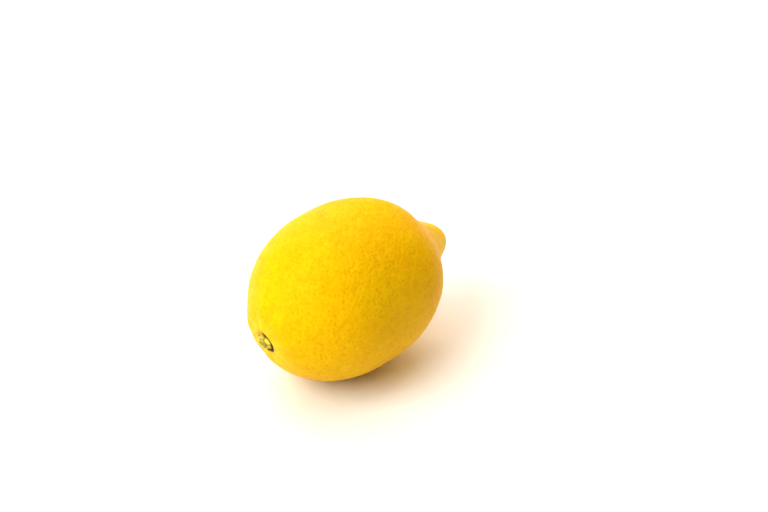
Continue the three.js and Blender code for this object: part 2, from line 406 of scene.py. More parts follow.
@dataclass(frozen=True)
class PeelFinish:
    """Waxy yellow peel, greener at its stalk end, with painted shade in the gap round the calyx, a paler
    nipple that is painted light, and brown where the style broke off.
    """

    ripe: Colour = (0.84, 0.462, 0.001)
    gland: Colour = (0.56, 0.26, 0.001)
    fleck: Colour = (0.45, 0.2, 0.01)
    cloud_cover: float = 0.6
    grain_cover: float = 0.5
    # Deep yellow painted into the furrows as shade.
    furrow_shade_cover: float = 0.4
    gland_cover: float = 0.62
    fleck_cover: float = 0.6
    greened: Stain = Stain((0.72, 0.56, 0.002), 0.45, 4.5 * MM, 12 * MM)
    collar: Stain = Stain(DEEP_YELLOW, 0.8, 4.4 * MM, 6.5 * MM)
    # A near-black ring of painted shade in the gap round the calyx, full on one side and faint all round.
    gap_shade: Stain = Stain((0.06, 0.018, 0.003), 1.0, 4.5 * MM, 5.1 * MM)
    gap_shade_way: Way = (0.0, -0.955, -0.3)
    gap_shade_band: Band = (-1.6 * MM, 1.2 * MM)
    gap_shade_elsewhere: float = 0.12
    # A paler nipple: painted light, as where lamps fall on it.
    nipple: Stain = Stain(PALE_YELLOW, 0.75, 8 * MM, 26 * MM)
    tip: Stain = Stain(DEEP_YELLOW, 0.3, 1.5 * MM, 6 * MM)
    scar: Stain = Stain((0.1, 0.04, 0.01), 0.9, 0.9 * MM, 1.7 * MM)
    ragged: float = 1.6 * MM
    ragged_scale: float = 700.0
    roughness: float = 0.44
    gland_roughness: float = 0.14
    wax_roughness: float = 0.16
    wax_scale: float = 140.0
    ior: float = 1.4
    gloss: float = 0.1
    sheen: Colour = (1.0, 0.86, 0.15)
    dimple_scale: float = 620.0
    dimple_band: Band = (0.0, 0.55)
    dimple_depth: float = 0.1 * MM
    pore_scale: float = 2600.0
    pore_depth: float = 0.05 * MM

    def material(self, effects: Effects, seat: Seat, tip: Vector) -> bpy.types.Material:
        """Builds the peel.

        Args:
            effects: The shared groups.
            seat: Where the calyx sits.
            tip: The nipple's tip.

        Returns:
            The material.
        """
        peel = MaterialBuilder("lemon_peel")
        gland = peel.mark(Mark.GLAND)
        colour = self._ends(peel, self._ripeness(peel, effects, gland), seat, tip)
        wax = peel.noise(peel.place, self.wax_scale, detail=3.0)
        rough = peel.math("ADD", self.roughness, peel.math("MULTIPLY", gland, self.gland_roughness))
        rough = peel.math("ADD", rough, peel.around_zero(wax, self.wax_roughness))
        peel.set(Base_Color=colour, Roughness=rough, IOR=self.ior)
        peel.set(Specular_IOR_Level=self.gloss, Specular_Tint=self.sheen)
        self._pores(peel)
        return peel.material

    def _ripeness(self, peel: MaterialBuilder, effects: Effects, gland: Link) -> bpy.types.NodeSocket:
        """Colours the peel all over.

        Args:
            peel: The material's builder.
            effects: The shared groups.
            gland: How near a place is to a gland's middle.

        Returns:
            The yellow with its clouds, grain, painted shade in the furrows, glands and flecks.
        """
        clouds = peel.effect(
            effects.mottle, Broad_Scale=45.0, Fine_Scale=170.0, Fine_Share=0.45, Contrast=0.22
        )
        grain = peel.effect(
            effects.mottle, Broad_Scale=420.0, Fine_Scale=900.0, Fine_Share=0.4, Contrast=0.16
        )
        spots = peel.effect(effects.flecks, Scale=150.0, Size=0.12, Share=0.12)
        colour = peel.cover(self.ripe, PALE_YELLOW, clouds, self.cloud_cover)
        colour = peel.cover(colour, DEEP_YELLOW, grain, self.grain_cover)
        # Painted shade: the furrows darkened towards deep yellow.
        colour = peel.cover(colour, DEEP_YELLOW, peel.mark(Mark.FURROW), self.furrow_shade_cover)
        colour = peel.cover(colour, self.gland, gland, self.gland_cover)
        return peel.cover(colour, self.fleck, spots, self.fleck_cover)

    def _ends(self, peel: MaterialBuilder, colour: Link, seat: Seat, tip: Vector) -> bpy.types.NodeSocket:
        """Colours the stalk end and the nipple, with painted shade in the gap round the calyx and painted
        light on the nipple.

        Args:
            peel: The material's builder.
            colour: The peel's colour all over.
            seat: Where the calyx sits.
            tip: The nipple's tip.

        Returns:
            The colour with the stains of the two ends, the painted shade in the seat's gap and the painted
            light on the nipple.
        """
        ragged = peel.around_zero(peel.noise(peel.place, self.ragged_scale, detail=3.0), self.ragged)
        from_seat = peel.far_from(seat.middle)
        seat_edge = peel.math("ADD", from_seat, ragged)
        colour = peel.stain(colour, self.greened, from_seat)
        colour = peel.stain(colour, self.collar, seat_edge)
        # Painted shade: a near-black ring in the gap round the calyx, full on one side and faint elsewhere.
        side = peel.math("ADD", peel.aside(seat.middle, self.gap_shade_way), ragged)
        gap_shade_side = peel.rise(side, self.gap_shade_band, self.gap_shade_elsewhere, 1.0)
        gap_shaded = peel.math("MULTIPLY", gap_shade_side, peel.spread(self.gap_shade, seat_edge))
        colour = peel.paint(colour, self.gap_shade.colour, gap_shaded)
        from_tip = peel.far_from(tip)
        # Painted light: the nipple made paler, as if lit from above.
        colour = peel.stain(colour, self.nipple, from_tip)
        colour = peel.stain(colour, self.tip, from_tip)
        return peel.stain(colour, self.scar, peel.math("ADD", from_tip, ragged))

    def _pores(self, peel: MaterialBuilder) -> None:
        """Adds the relief that is finer than the mesh.

        Args:
            peel: The material's builder.
        """
        inputs = {"Vector": peel.place, "Scale": self.dimple_scale}
        cells = peel.node("ShaderNodeTexVoronoi", inputs, feature="SMOOTH_F1")
        dimple = peel.rise(peel.output(cells, "Distance"), self.dimple_band)
        pore = peel.noise(peel.place, self.pore_scale, detail=3.0, roughness=0.6)
        peel.relief((dimple, self.dimple_depth), (pore, self.pore_depth))


@dataclass(frozen=True)
class CalyxFinish:
    """A dry olive calyx with browned edges, painted shade in its grooves and a painted highlight on one
    side, round the cut face of the stalk.
    """

    olive: Colour = (0.33, 0.27, 0.012)
    yellow: Colour = (0.8, 0.68, 0.05)
    brown: Colour = (0.14, 0.05, 0.006)
    cut: Colour = (0.36, 0.27, 0.012)
    # A pale wedge on one side of the calyx: a painted highlight.
    painted_highlight: Colour = (0.92, 0.87, 0.45)
    highlight_way: Way = (0.1, 0.55, -0.83)
    highlight_band: Band = (0.9 * MM, 2.1 * MM)
    highlight_cover: float = 0.85
    ragged: float = 1.4 * MM
    fleck_cover: float = 0.35
    rim_cover: float = 0.8
    # Brown laid as painted shade in the grooves and at the stub's foot, and as the dark pith.
    groove_shade_and_pith_cover: float = 0.7
    roughness: float = 0.72
    mottle_roughness: float = 0.15
    ior: float = 1.45
    fibre_scale: float = 3500.0
    fibre_depth: float = 0.06 * MM

    def material(self, effects: Effects, seat: Seat) -> bpy.types.Material:
        """Builds the dry calyx.

        Args:
            effects: The shared groups.
            seat: Where the calyx sits.

        Returns:
            The material.
        """
        calyx = MaterialBuilder("dry_calyx")
        mottle = calyx.effect(
            effects.mottle, Broad_Scale=260.0, Fine_Scale=1500.0, Fine_Share=0.35, Contrast=0.14
        )
        flecks = calyx.effect(effects.flecks, Scale=1500.0, Size=0.3, Share=0.3)
        # Painted highlight: a pale wedge with a ragged edge on the side along its way, where the brown rim
        # is left out.
        side = calyx.math(
            "ADD", calyx.aside(seat.middle, self.highlight_way), calyx.around_zero(mottle, self.ragged)
        )
        highlit = calyx.rise(side, self.highlight_band)
        rim = calyx.math("MULTIPLY", calyx.mark(Mark.RIM), calyx.math("SUBTRACT", 1.0, mottle))
        rim = calyx.math("MULTIPLY", rim, calyx.math("SUBTRACT", 1.0, highlit))
        colour = calyx.paint(self.olive, self.yellow, mottle)
        colour = calyx.paint(colour, self.cut, calyx.mark(Mark.CUT))
        colour = calyx.cover(colour, self.painted_highlight, highlit, self.highlight_cover)
        colour = calyx.cover(colour, self.brown, flecks, self.fleck_cover)
        colour = calyx.cover(colour, self.brown, rim, self.rim_cover)
        # Painted shade in the grooves and at the stub's foot, with the pith's own dark colour.
        colour = calyx.cover(colour, self.brown, calyx.mark(Mark.GROOVE_SHADE_AND_PITH), self.groove_shade_and_pith_cover)
        rough = calyx.math("ADD", self.roughness, calyx.math("MULTIPLY", mottle, self.mottle_roughness))
        calyx.set(Base_Color=colour, Roughness=rough, IOR=self.ior)
        fibres = calyx.noise(calyx.place, self.fibre_scale, detail=4.0, roughness=0.6)
        calyx.relief((fibres, self.fibre_depth))
        return calyx.material


@dataclass(frozen=True)
class FloorFinish:
    """A plain pale matt floor."""

    colour: Colour = (0.92, 0.92, 0.92)
    shade: Colour = (0.9, 0.9, 0.895)
    roughness: float = 0.7

    def material(self, effects: Effects) -> bpy.types.Material:
        """Builds the floor.

        Args:
            effects: The shared groups.

        Returns:
            The material.
        """
        floor = MaterialBuilder("pale_floor")
        clouds = floor.effect(
            effects.mottle, Broad_Scale=6.0, Fine_Scale=300.0, Fine_Share=0.3, Contrast=0.4
        )
        floor.set(Base_Color=floor.paint(self.colour, self.shade, clouds), Roughness=self.roughness)
        return floor.material


# Meshes


def add_object(name: str, mesh: bpy.types.Mesh) -> bpy.types.Object:
    """Links a mesh to the scene.

    Args:
        name: The object's name.
        mesh: Its mesh.

    Returns:
        The new object.
    """
    made = bpy.data.objects.new(name, mesh)
    bpy.context.scene.collection.objects.link(made)
    return made


def bmesh_from(mesh: bpy.types.Mesh) -> bmesh.types.BMesh:
    """Opens a mesh for editing.

    Args:
        mesh: The mesh.

    Returns:
        A copy that can be edited.
    """
    work = bmesh.new()
    work.from_mesh(mesh)
    return work


def smooth_step(value: np.ndarray, start: Any, end: Any) -> np.ndarray:
    """Returns a smooth rise from 0 to 1 between two values."""
    share = np.clip((value - start) / (end - start), 0.0, 1.0)
    return share * share * (3 - 2 * share)


def bell(value: np.ndarray, width: float) -> np.ndarray:
    """Returns a soft bump that is 1 at zero and almost gone at twice its width."""
    return np.exp(-((value / width) ** 2))


def plain_mesh(worked: bpy.types.Object, name: str) -> bpy.types.Object:
    """Turns an object and its modifiers into a new object with a plain mesh.

    Args:
        worked: The object, which is removed.
        name: The new object's name.

    Returns:
        The new object.
    """
    graph = bpy.context.evaluated_depsgraph_get()
    mesh = bpy.data.meshes.new_from_object(worked.evaluated_get(graph), depsgraph=graph)
    mesh.name = name
    bpy.data.objects.remove(worked)
    return add_object(name, mesh)


def cad_copy(node: Node, name: str) -> bpy.types.Object:
    """Copies a CAD node, with its loose triangles merged and paired into quads where they are flat.

    Args:
        node: The CAD node.
        name: The copy's name.

    Returns:
        The copy.
    """
    doubles_within = 1e-6
    most_bend = math.radians(40)
    most_skew = math.radians(60)
    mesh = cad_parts[node.value].data.copy()
    copied = add_object(name, mesh)
    work = bmesh_from(mesh)
    bmesh.ops.remove_doubles(work, verts=work.verts, dist=doubles_within)
    bmesh.ops.join_triangles(
        work, faces=work.faces, angle_face_threshold=most_bend, angle_shape_threshold=most_skew
    )
    work.to_mesh(mesh)
    work.free()
    return copied


def calyx_seat() -> Seat:
    """Finds the calyx's seat from its CAD node, whose widest flat is its underside.

    Returns:
        The seat.
    """
    digits_alike = 2
    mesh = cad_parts[Node.CALYX.value].data
    normals = np.array([tuple(face.normal) for face in mesh.polygons])
    centres = np.array([tuple(face.center) for face in mesh.polygons])
    areas = np.array([face.area for face in mesh.polygons])
    keys = [tuple(row) for row in np.round(normals, digits_alike)]
    totals: dict[tuple[float, ...], float] = {}
    for key, area in zip(keys, areas):
        totals[key] = totals.get(key, 0.0) + float(area)
    widest = max(totals, key=lambda key: totals[key])
    under = np.array([key == widest for key in keys])
    weights = areas[under][:, None]
    middle = Vector((centres[under] * weights).sum(axis=0) / weights.sum())
    axis = -Vector((normals[under] * weights).sum(axis=0)).normalized()
    return Seat(middle, axis)


def nipple_tip() -> Vector:
    """Finds the nipple's tip, the middle of what lies furthest towards +X.

    Returns:
        The tip.
    """
    depth = 0.3 * MM
    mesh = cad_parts[Node.FRUIT.value].data
    points = np.array([tuple(vertex.co) for vertex in mesh.vertices])
    furthest = points[points[:, 0] > points[:, 0].max() - depth]
    return Vector(furthest.mean(axis=0))


# The fruit


@dataclass
class PeelTree:
    """The Geometry Nodes tree that gives the peel its true surface: lumps, furrows and oil glands.

    The furrows run from the two ends. At each end they deepen over the first band of distances and die out
    over the second.
    """

    lump_height: float = 0.3 * MM
    lump_spacing: float = 15 * MM
    ripple_height: float = 0.09 * MM
    ripple_spacing: float = 4.2 * MM
    still_at_rest: Band = (0.0, 3.5 * MM)
    still_at_seat: Band = (4.6 * MM, 9 * MM)
    furrow_depth: float = 0.35 * MM
    furrows: float = 9.0
    furrow_sharpness: float = 2.0
    wander: float = 5.0
    wander_scale: float = 60.0
    seat_furrows: tuple[Band, Band] = ((4.8 * MM, 7 * MM), (8 * MM, 19 * MM))
    neck_furrows: tuple[Band, Band] = ((5 * MM, 12 * MM), (15 * MM, 27 * MM))
    neck_share: float = 0.6
    gland_spacing: float = 1.3 * MM
    gland_radius: float = 0.46 * MM
    gland_depth: float = 0.15 * MM
    smallest_gland: float = 0.45
    glands_to_square_metre: float = 3.0e6
    seed: int = 7

    def modify(
        self,
        base: bpy.types.Object,
        guide: bpy.types.Object,
        seat: Seat,
        tip: Vector,
        material: bpy.types.Material,
    ) -> None:
        """Adds the tree to an object as a modifier and sets its inputs.

        Args:
            base: The evenly meshed fruit.
            guide: The smooth fruit that its points are laid on.
            seat: Where the calyx sits.
            tip: The nipple's tip.
            material: The peel.
        """
        modifier = base.modifiers.new("peel", "NODES")
        modifier.node_group = self._tree()
        values = {
            "Guide": guide,
            "Peel": material,
            "Seat Middle": tuple(seat.middle),
            "Seat Axis": tuple(seat.axis),
            "Tip": tuple(tip),
            "Lump Height": self.lump_height,
            "Lump Spacing": self.lump_spacing,
            "Ripple Height": self.ripple_height,
            "Ripple Spacing": self.ripple_spacing,
            "Furrow Depth": self.furrow_depth,
            "Furrows": self.furrows,
            "Gland Spacing": self.gland_spacing,
            "Gland Radius": self.gland_radius,
            "Gland Depth": self.gland_depth,
            "Seed": self.seed,
        }
        for item in modifier.node_group.interface.items_tree:
            if item.item_type == "SOCKET" and item.in_out == "INPUT" and item.name in values:
                modifier[item.identifier] = values[item.name]

    def _tree(self) -> bpy.types.NodeTree:
        """Builds the tree.

        Returns:
            The tree, which takes the even mesh and gives the finished peel.
        """
        peel = GroupBuilder(bpy.data.node_groups.new("peel_surface", "GeometryNodeTree"))
        base = peel.takes("Geometry", "Geometry")
        guide = peel.takes("Guide", "Object")
        material = peel.takes("Peel", "Material")
        seat_middle = peel.takes("Seat Middle", "Vector")
        seat_axis = peel.takes("Seat Axis", "Vector")
        tip = peel.takes("Tip", "Vector")
        smooth = peel.output(peel.node("GeometryNodeObjectInfo", {"Object": guide}), "Geometry")
        laid, normal = self._lay(peel, base, smooth)
        place = peel.output(peel.node("GeometryNodeInputPosition"))
        from_seat = peel.vector("DISTANCE", place, seat_middle)
        from_tip = peel.vector("DISTANCE", place, tip)
        turn = self._turn_about(peel, place, seat_middle, seat_axis)
        furrow, valley = self._furrows(peel, place, turn, from_seat, from_tip)
        gland, dent = self._glands(peel, smooth, place)
        height = peel.math("SUBTRACT", self._swell(peel, place, from_seat), valley)
        height = peel.math("SUBTRACT", height, dent)
        marked = self._store(peel, laid, Mark.GLAND, gland)
        marked = self._store(peel, marked, Mark.FURROW, furrow)
        offset = peel.scale(normal, height)
        raised = peel.node("GeometryNodeSetPosition", {"Geometry": marked, "Offset": offset})
        rested = self._rest(peel, peel.output(raised))
        shaded = peel.output(peel.node("GeometryNodeSetShadeSmooth", {"Geometry": rested}))
        real = peel.output(peel.node("GeometryNodeRealizeInstances", {"Geometry": shaded}))
        dressed = peel.node("GeometryNodeSetMaterial", {"Geometry": real, "Material": material})
        peel.gives("Geometry", "Geometry", peel.output(dressed))
        return peel.tree

    def _lay(self, peel: GroupBuilder, base: Link, smooth: Link) -> tuple[Link, Link]:
        """Lays the even mesh on the smooth fruit.

        Args:
            peel: The tree's builder.
            base: The even mesh.
            smooth: The smooth fruit.

        Returns:
            The laid mesh, and the smooth fruit's normal at each of its points.
        """
        near = peel.node("GeometryNodeProximity", {0: smooth}, target_element="FACES")
        nearest = peel.output(near, "Position")
        laid = peel.node("GeometryNodeSetPosition", {"Geometry": base, "Position": nearest})
        facing = peel.output(peel.node("GeometryNodeInputNormal"))
        carried, normals = self._carry(peel, smooth, facing)
        sampled = peel.node(
            "GeometryNodeSampleNearestSurface", {0: carried, "Value": normals}, data_type="FLOAT_VECTOR"
        )
        kept, sampled_normals = self._carry(peel, peel.output(laid), peel.output(sampled, "Value"))
        return kept, peel.vector("NORMALIZE", sampled_normals)

    def _carry(self, peel: GroupBuilder, mesh: Link, vector: Link) -> tuple[Link, Link]:
        """Keeps a vector of each point as it is now.

        Args:
            peel: The tree's builder.
            mesh: The mesh with the points.
            vector: The vector.

        Returns:
            The mesh, and the kept vector.
        """
        kept = peel.node("GeometryNodeCaptureAttribute", domain="POINT")
        kept.capture_items.new("VECTOR", "Facing")
        peel.feed(peel.input(kept, 0), mesh)
        peel.feed(peel.input(kept, 1), vector)
        return peel.output(kept, 0), peel.output(kept, 1)

    def _swell(self, peel: GroupBuilder, place: Link, from_seat: Link) -> bpy.types.NodeSocket:
        """Raises lumps and ripples, except where the fruit rests and where the calyx sits.

        Args:
            peel: The tree's builder.
            place: The mesh's own points.
            from_seat: Their distance from the seat.

        Returns:
            How far each point is raised.
        """
        lump = self._waves(peel, place, "Lump")
        ripple = self._waves(peel, place, "Ripple")
        parts = peel.node("ShaderNodeSeparateXYZ", {"Vector": place})
        off_rest = peel.rise(peel.output(parts, "Z"), self.still_at_rest)
        clear = peel.math("MULTIPLY", off_rest, peel.rise(from_seat, self.still_at_seat))
        return peel.math("MULTIPLY", peel.math("ADD", lump, ripple), clear)

    def _waves(self, peel: GroupBuilder, place: Link, name: str) -> bpy.types.NodeSocket:
        """Makes soft waves, up and down from zero.

        Args:
            peel: The tree's builder.
            place: The mesh's own points.
            name: What the waves are called in the tree's inputs.

        Returns:
            The height of each point.
        """
        height = peel.takes(f"{name} Height", "Float")
        spacing = peel.takes(f"{name} Spacing", "Float")
        noise = peel.noise(place, peel.math("DIVIDE", 1.0, spacing), detail=1.0)
        return peel.math("MULTIPLY", peel.math("MULTIPLY_ADD", noise, 2.0, -1.0), height)

    def _turn_about(
        self, peel: GroupBuilder, place: Link, middle: Link, axis: Link
    ) -> bpy.types.NodeSocket:
        """Measures the way that a point lies round an axis.

        Args:
            peel: The tree's builder.
            place: The mesh's own points.
            middle: A point on the axis.
            axis: The way that the axis runs.

        Returns:
            The angle, in radians.
        """
        offset = peel.vector("SUBTRACT", place, middle)
        side = peel.vector("NORMALIZE", peel.vector("CROSS_PRODUCT", axis, tuple(UP)))
        top = peel.vector("CROSS_PRODUCT", side, axis)
        across = peel.vector("DOT_PRODUCT", offset, side)
        return peel.math("ARCTAN2", peel.vector("DOT_PRODUCT", offset, top), across)

    def _furrows(
        self, peel: GroupBuilder, place: Link, turn: Link, from_seat: Link, from_tip: Link
    ) -> tuple[Link, Link]:
        """Runs wandering furrows along the fruit at its two ends.

        Args:
            peel: The tree's builder.
            place: The mesh's own points.
            turn: The way that they lie round the seat's axis.
            from_seat: Their distance from the seat.
            from_tip: Their distance from the nipple's tip.

        Returns:
            How deep in a furrow a point is, from 0 to 1, and how far it is sunk.
        """
        depth = peel.takes("Furrow Depth", "Float")
        count = peel.takes("Furrows", "Float")
        wander = peel.math("MULTIPLY", peel.noise(place, self.wander_scale), self.wander)
        wave = peel.math("COSINE", peel.math("ADD", peel.math("MULTIPLY", turn, count), wander))
        valley = peel.math("POWER", peel.math("MULTIPLY_ADD", wave, 0.5, 0.5), self.furrow_sharpness)
        starts, ends = self.seat_furrows
        by_seat = peel.math("MULTIPLY", peel.rise(from_seat, starts), peel.fade(from_seat, ends))
        starts, ends = self.neck_furrows
        ends_at_neck = peel.fade(from_tip, ends, self.neck_share)
        by_neck = peel.math("MULTIPLY", peel.rise(from_tip, starts), ends_at_neck)
        furrow = peel.math("MULTIPLY", valley, peel.math("ADD", by_seat, by_neck))
        return furrow, peel.math("MULTIPLY", furrow, depth)

    def _glands(self, peel: GroupBuilder, smooth: Link, place: Link) -> tuple[Link, Link]:
        """Scatters the oil glands.

        Args:
            peel: The tree's builder.
            smooth: The smooth fruit that they lie on.
            place: The mesh's own points.

        Returns:
            How near a point is to the middle of a gland, from 0 to 1, and how far it is sunk.
        """
        spacing = peel.takes("Gland Spacing", "Float")
        radius = peel.takes("Gland Radius", "Float")
        depth = peel.takes("Gland Depth", "Float")
        seed = peel.takes("Seed", "Int")
        most = self.glands_to_square_metre
        spread = {"Mesh": smooth, "Distance Min": spacing, "Density Max": most, "Seed": seed}
        scatter = peel.node("GeometryNodeDistributePointsOnFaces", spread, distribute_method="POISSON")
        points = peel.output(scatter, "Points")
        asked = {"Geometry": points, "Sample Position": place}
        nearest = peel.output(peel.node("GeometryNodeSampleNearest", asked))
        spot = peel.output(peel.node("GeometryNodeInputPosition"))
        found = {"Geometry": points, "Value": spot, "Index": nearest}
        middle = peel.output(peel.node("GeometryNodeSampleIndex", found, data_type="FLOAT_VECTOR"))
        drawn = {"Min": self.smallest_gland, "Max": 1.0, "ID": nearest, "Seed": seed}
        size = peel.output(peel.node("FunctionNodeRandomValue", drawn, data_type="FLOAT"))
        reach = peel.math("MULTIPLY", radius, size)
        share = peel.math("DIVIDE", peel.vector("DISTANCE", place, middle), reach)
        bump = peel.math("EXPONENT", peel.math("MULTIPLY", peel.math("MULTIPLY", share, share), -1.0))
        gland = peel.math("MULTIPLY", bump, size)
        return gland, peel.math("MULTIPLY", gland, depth)

    def _store(self, peel: GroupBuilder, mesh: Link, mark: Mark, value: Link) -> bpy.types.NodeSocket:
        """Stores a number on the mesh under a mark."""
        inputs = {"Geometry": mesh, "Name": mark.value, "Value": value}
        return peel.output(peel.node("GeometryNodeStoreNamedAttribute", inputs, domain="POINT"))

    def _rest(self, peel: GroupBuilder, mesh: Link) -> bpy.types.NodeSocket:
        """Presses whatever is under the surface that the fruit rests on flat.

        Args:
            peel: The tree's builder.
            mesh: The raised mesh.

        Returns:
            The mesh, with nothing of it under zero.
        """
        place = peel.output(peel.node("GeometryNodeInputPosition"))
        parts = peel.node("ShaderNodeSeparateXYZ", {"Vector": place})
        height = peel.math("MAXIMUM", peel.output(parts, "Z"), 0.0)
        held = {"X": peel.output(parts, "X"), "Y": peel.output(parts, "Y"), "Z": height}
        pressed = peel.output(peel.node("ShaderNodeCombineXYZ", held))
        return peel.output(peel.node("GeometryNodeSetPosition", {"Geometry": mesh, "Position": pressed}))


@dataclass
class Fruit:
    """The whole fruit, whose peel stands for the CAD solid."""

    effects: Effects
    seat: Seat
    tip: Vector
    finish: PeelFinish = field(default_factory=PeelFinish)
    surface: PeelTree = field(default_factory=PeelTree)
    mesh_spacing: float = 0.52 * MM
    smoothing: int = 2

    def build(self) -> bpy.types.Object:
        """Builds the fruit and dresses it.

        Returns:
            The finished piece.
        """
        guide = cad_copy(Node.FRUIT, "fruit_guide")
        smooth = guide.modifiers.new("smooth", "SUBSURF")
        smooth.levels = self.smoothing
        smooth.render_levels = self.smoothing
        guide = plain_mesh(guide, "fruit_guide")
        guide.data.shade_smooth()
        base = cad_copy(Node.FRUIT, "fruit_base")
        even = base.modifiers.new("even", "REMESH")
        even.mode = "VOXEL"
        even.voxel_size = self.mesh_spacing
        peel = self.finish.material(self.effects, self.seat, self.tip)
        self.surface.modify(base, guide, self.seat, self.tip, peel)
        fruit = plain_mesh(base, "lemon_peel")
        bpy.data.objects.remove(guide)
        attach(fruit, "root")
        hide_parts(Node.FRUIT.value)
        return fruit


# The calyx


@dataclass
class Calyx:
    """The dry calyx and the stub of the stalk, one turned and crumpled piece on its seat.

    It is made as rings of points round the seat's axis. A share is a point's distance from the middle over
    the rim's, so 0 is the middle and 1 is the rim.
    """

    effects: Effects
    seat: Seat
    finish: CalyxFinish = field(default_factory=CalyxFinish)
    sepals: int = 5
    radius: float = 3.95 * MM
    clearance: float = 0.15 * MM
    notch: float = 0.75 * MM
    notch_sharpness: float = 1.6
    rim_unevenness: float = 0.16 * MM
    rim_waves: range = range(2, 9)
    shrunk: float = 0.4 * MM
    shrunk_turn: float = -2.85
    thickness: float = 1.0 * MM
    edge: float = 0.5 * MM
    droop: Band = (0.62, 1.0)
    droop_power: float = 1.5
    ridge: float = 0.12 * MM
    ridge_from: Band = (0.5, 0.8)
    groove: float = 0.3 * MM
    groove_sharpness: int = 6
    groove_run: float = 0.7 * MM
    crumple: float = 0.13 * MM
    crumple_from: Band = (0.35, 0.9)
    crumple_waves: range = range(5, 24)
    stub_radius: float = 1.65 * MM
    stub_top: float = 2.0 * MM
    stub_unevenness: float = 0.06
    stub_waves: range = range(2, 7)
    stub_slope: Band = (-0.2 * MM, 0.35 * MM)
    foot_offset: float = 0.2 * MM
    foot_width: float = 0.28 * MM
    fibre: float = 0.12 * MM
    fibre_start: float = 0.3 * MM
    fibre_waves: range = range(9, 40)
    pith_hollow: float = 0.35 * MM
    pith_hollow_width: float = 0.5 * MM
    pith_width: float = 0.36 * MM
    dish: float = 0.12 * MM
    dish_from: Band = (0.6 * MM, 1.3 * MM)
    dry_rim: Band = (0.8, 0.97)
    rim_dryness: float = 0.95
    # Painted shade in the grooves and round the stub's foot, and the pith's own dark colour.
    groove_shade: float = 0.9
    foot_shade: float = 0.75
    pith_darkness: float = 0.9
    bulge: float = 0.12 * MM
    side_heights: tuple[float, ...] = (0.62, 0.3)
    under_rings: tuple[float, ...] = (0.75, 0.5, 0.25)
    rings: int = 84
    segments: int = 200
    seed: int = 3

    def build(self) -> bpy.types.Object:
        """Builds the calyx and dresses it.

        Returns:
            The finished piece.
        """
        rng = np.random.default_rng(self.seed)
        turn = np.linspace(0.0, 2 * np.pi, self.segments, endpoint=False)
        rim = self._rim(turn, rng)
        share = np.linspace(0.0, 1.0, self.rings + 1)[1:]
        radius = share[:, None] * rim[None, :]
        top, marks = self._top(radius, rim, turn, rng)
        made = self._mesh(radius, top, rim, turn, marks)
        made.materials.append(self.finish.material(self.effects, self.seat))
        calyx = add_object("calyx_and_stub", made)
        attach(calyx, "root")
        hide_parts(Node.CALYX.value)
        return calyx

    def _rim(self, turn: np.ndarray, rng: np.random.Generator) -> np.ndarray:
        """Draws the rim, which is drawn in between the sepals and has shrunk from the seat on one side.

        Args:
            turn: The turns.
            rng: Where its unevenness comes from.

        Returns:
            How far out the rim lies at each turn.
        """
        lobe = self._between(turn) ** self.notch_sharpness
        uneven = self._ripple(turn, rng, self.rim_waves) * self.rim_unevenness
        drawn_in = self.shrunk * np.clip(np.cos(turn - self.shrunk_turn), 0.0, 1.0)
        return self.radius - self.clearance - self.notch * lobe - drawn_in + uneven

    def _between(self, turn: np.ndarray) -> np.ndarray:
        """Returns 0 in the middle of each sepal and 1 between two."""
        return 0.5 - 0.5 * np.cos(self.sepals * turn)

    def _top(
        self, radius: np.ndarray, rim: np.ndarray, turn: np.ndarray, rng: np.random.Generator
    ) -> tuple[np.ndarray, dict[Mark, np.ndarray]]:
        """Shapes the upper side.

        Args:
            radius: Each point's distance from the middle.
            rim: The rim's distance at each turn.
            turn: The turns.
            rng: Where the crumples come from.

        Returns:
            The height of each point over the seat, and the numbers for its finish.
        """
        share = radius / rim[None, :]
        sepal, groove = self._sepals(radius, share, turn, rng)
        stub, inside, foot = self._stub(radius, turn, rng)
        pith = bell(radius, self.pith_width)
        marks = {
            Mark.CUT: np.clip(inside - foot, 0.0, 1.0) * (1 - pith),
            Mark.RIM: self.rim_dryness * smooth_step(share, *self.dry_rim),
            # Painted shade in the grooves and at the stub's foot, with the dark pith.
            Mark.GROOVE_SHADE_AND_PITH: np.clip(
                self.groove_shade * groove + self.foot_shade * foot + self.pith_darkness * pith, 0.0, 1.0
            ),
        }
        return sepal * (1 - inside) + stub * inside, marks

    def _sepals(
        self, radius: np.ndarray, share: np.ndarray, turn: np.ndarray, rng: np.random.Generator
    ) -> tuple[np.ndarray, np.ndarray]:
        """Shapes the ridged and crumpled sepals, with a groove between each two.

        Args:
            radius: Each point's distance from the middle.
            share: The same as a share of the rim's.
            turn: The turns.
            rng: Where the crumples come from.

        Returns:
            The height of each point, and how deep in a groove it is.
        """
        between = self._between(turn)[None, :]
        run = smooth_step(radius, self.stub_radius, self.stub_radius + self.groove_run)
        groove = between**self.groove_sharpness * run
        waves = self._ripple(turn, rng, self.crumple_waves)[None, :]
        crumple = waves * smooth_step(share, *self.crumple_from)
        droop = smooth_step(share, *self.droop) ** self.droop_power
        dome = self.thickness - (self.thickness - self.edge) * droop
        ridge = self.ridge * (1 - between) * smooth_step(share, *self.ridge_from)
        return dome + ridge - self.groove * groove + self.crumple * crumple, groove

